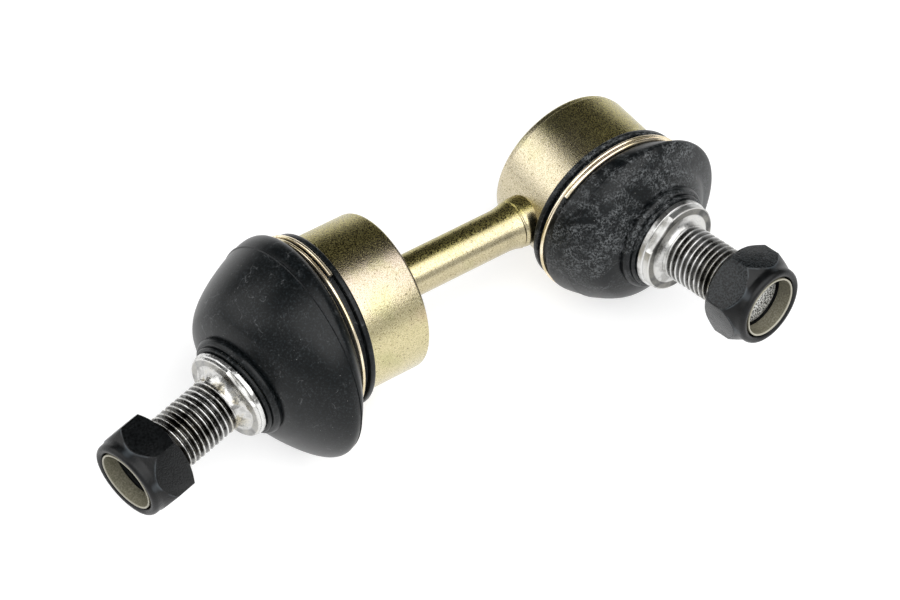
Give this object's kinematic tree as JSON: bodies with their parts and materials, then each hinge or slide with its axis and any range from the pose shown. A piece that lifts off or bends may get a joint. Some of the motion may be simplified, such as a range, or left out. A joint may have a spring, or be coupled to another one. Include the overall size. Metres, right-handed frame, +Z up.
{
  "type": "stabilizer link",
  "caption": "Short stabilizer link: a round rod joining an axial and a radial ball joint, with booted, threaded ball studs and lock nuts.",
  "frame": {"origin": "middle of the bounding box, at its bottom, on the ground that the link rests on", "axes": "+X from the axial joint to the radial one, within 5 degrees of the rod; +Z up, the rod's plane lying flat within 9 degrees; the radial stud points towards -Y"},
  "size_m": [0.1402, 0.0716, 0.044],
  "materials": {
    "rod_zinc": "yellow passivated zinc, satin",
    "housing_zinc": "yellow passivated zinc, finely blasted",
    "cover_zinc": "yellow passivated zinc",
    "acetal": "moulded, greased",
    "stud_zinc": "bright silver zinc on forged and rolled steel",
    "rubber": "satin black moulded rubber with dust",
    "clamp_zinc": "yellow zinc spring wire",
    "ring_zinc": "yellow zinc spring wire",
    "nut_black": "satin black",
    "nylon": "natural nylon, beige"
  },
  "bodies": {
    "link": {"link_rod": "rod_zinc", "axial_housing": "housing_zinc", "radial_housing": "housing_zinc", "radial_cover_plate": "cover_zinc", "axial_ball_seat": "acetal", "radial_ball_seat": "acetal", "axial_boot_clamp": "clamp_zinc", "radial_boot_clamp": "clamp_zinc"},
    "axial_swing": {"axial_boot": "rubber"},
    "axial_lean": {"axial_neck_ring": "ring_zinc"},
    "axial_stud": {"axial_ball_stud": "stud_zinc"},
    "axial_insert": {"axial_nut_insert": "nylon"},
    "axial_nut": {"axial_nut": "nut_black"},
    "radial_swing": {"radial_boot": "rubber"},
    "radial_lean": {"radial_neck_ring": "ring_zinc"},
    "radial_stud": {"radial_ball_stud": "stud_zinc"},
    "radial_insert": {"radial_nut_insert": "nylon"},
    "radial_nut": {"radial_nut": "nut_black"}
  },
  "joints": [
    {"name": "axial_stud_heading", "type": "hinge", "parent": "link", "child": "axial_swing", "pos_m": [-0.01866, 0.0154, 0.02272], "axis": [-0.997, 0.0095, 0.077], "continuous": true},
    {"name": "axial_stud_tilt", "type": "hinge", "parent": "axial_swing", "child": "axial_lean", "pos_m": [-0.01866, 0.0154, 0.02272], "axis": [0.062, -0.5003, 0.8636], "range_deg": [-37.8, 12.2], "deforming": ["axial_boot"]},
    {"name": "axial_stud_spin", "type": "hinge", "parent": "axial_lean", "child": "axial_stud", "pos_m": [-0.01866, 0.0154, 0.02272], "axis": [-0.9826, -0.1826, -0.0353], "continuous": true},
    {"name": "axial_nut_travel", "type": "slide", "parent": "axial_stud", "child": "axial_insert", "axis": [-0.9826, -0.1826, -0.0353], "range_m": [-0.01375, 0.0025]},
    {"name": "axial_nut_turn", "type": "hinge", "parent": "axial_insert", "child": "axial_nut", "pos_m": [-0.05905, 0.0079, 0.02127], "axis": [-0.9826, -0.1826, -0.0353], "range_deg": [-3965, 725]},
    {"name": "radial_stud_heading", "type": "hinge", "parent": "link", "child": "radial_swing", "pos_m": [0.04903, 0.01327, 0.01767], "axis": [0, -0.9925, 0.1219], "continuous": true},
    {"name": "radial_stud_tilt", "type": "hinge", "parent": "radial_swing", "child": "radial_lean", "pos_m": [0.04903, 0.01327, 0.01767], "axis": [-0.3673, 0.1133, 0.9232], "range_deg": [-34, 16], "deforming": ["radial_boot"]},
    {"name": "radial_stud_spin", "type": "hinge", "parent": "radial_lean", "child": "radial_stud", "pos_m": [0.04903, 0.01327, 0.01767], "axis": [0.1455, -0.9733, 0.1774], "continuous": true},
    {"name": "radial_nut_travel", "type": "slide", "parent": "radial_stud", "child": "radial_insert", "axis": [0.1455, -0.9733, 0.1774], "range_m": [-0.0125, 0.00375]},
    {"name": "radial_nut_turn", "type": "hinge", "parent": "radial_insert", "child": "radial_nut", "pos_m": [0.05468, -0.02449, 0.02455], "axis": [0.1455, -0.9733, 0.1774], "range_deg": [-3605, 1085]}
  ],
  "couplings": [
    {"joint": "axial_nut_turn", "follows": "axial_nut_travel", "rad_per_m": 5026.5},
    {"joint": "radial_nut_turn", "follows": "radial_nut_travel", "rad_per_m": 5026.5}
  ]
}
